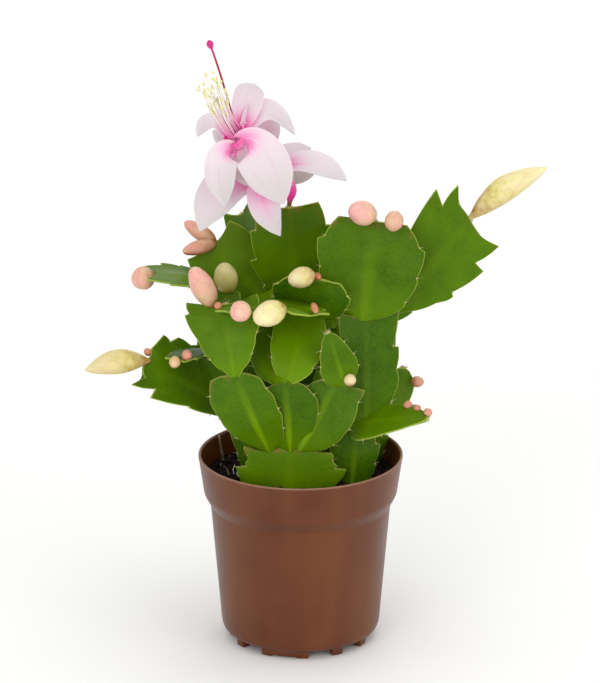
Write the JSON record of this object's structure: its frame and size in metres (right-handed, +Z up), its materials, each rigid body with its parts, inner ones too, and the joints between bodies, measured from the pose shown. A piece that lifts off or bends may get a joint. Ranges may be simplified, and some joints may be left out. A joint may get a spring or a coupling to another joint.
{
  "type": "potted christmas cactus",
  "caption": "Christmas cactus with flat toothed stem segments, cream and pink buds and an open pale flower, growing in peat in a small brown plastic nursery pot.",
  "frame": {"origin": "centre of the whole object's box in plan, at the height of the surface the pot's feet stand on", "axes": "+Z up, +X to the viewer's right, -Y towards the viewer of the flower's side; the pot's axis is vertical and stands 5 mm left of and 15 mm in front of the origin"},
  "size_m": [0.157, 0.101, 0.2168],
  "materials": {
    "pot": "thermoformed brown polypropylene, semi-gloss",
    "soil": "moist dark peat with root fibres, matt",
    "stem": "smooth waxy succulent skin, satin",
    "cream_bud": "waxy closed bud, cream with olive base",
    "pink_bud": "waxy closed bud, pale pink",
    "petal": "thin satin petals, white-pink with hot pink throat",
    "ovary": "waxy, hot pink",
    "style": "smooth magenta",
    "stamen": "white filaments with pale yellow pollen"
  },
  "bodies": {
    "root": {"pot": "pot", "soil": "soil", "stem_back": "stem", "stem_back_left": "stem", "stem_front": "stem", "stem_left": "stem", "stem_middle": "stem", "stem_right": "stem", "stem_side": "stem", "bud_back_crown": "cream_bud", "bud_back_low": "pink_bud", "bud_back_top": "pink_bud", "bud_crown_cream": "cream_bud", "bud_crown_tiny": "pink_bud", "bud_fan_left": "pink_bud", "bud_fan_right": "pink_bud", "bud_far_left": "cream_bud", "bud_far_right": "cream_bud", "bud_left_top": "pink_bud", "bud_low_right_a": "pink_bud", "bud_low_right_b": "pink_bud", "bud_low_right_c": "pink_bud", "bud_low_tip": "pink_bud", "bud_middle_lower": "pink_bud", "bud_middle_upper": "pink_bud", "bud_olive": "cream_bud", "bud_shelf_cream": "cream_bud", "bud_shelf_pink": "pink_bud", "bud_shelf_tiny": "pink_bud", "bud_short_cream": "cream_bud", "bud_short_pink": "pink_bud", "bud_side": "pink_bud", "bud_small_yellow": "cream_bud", "bud_upper_left": "pink_bud", "bud_upper_tiny": "pink_bud", "flower_ovary": "ovary", "flower_petals": "petal", "flower_stamens": "stamen", "flower_style": "style"}
  },
  "joints": []
}
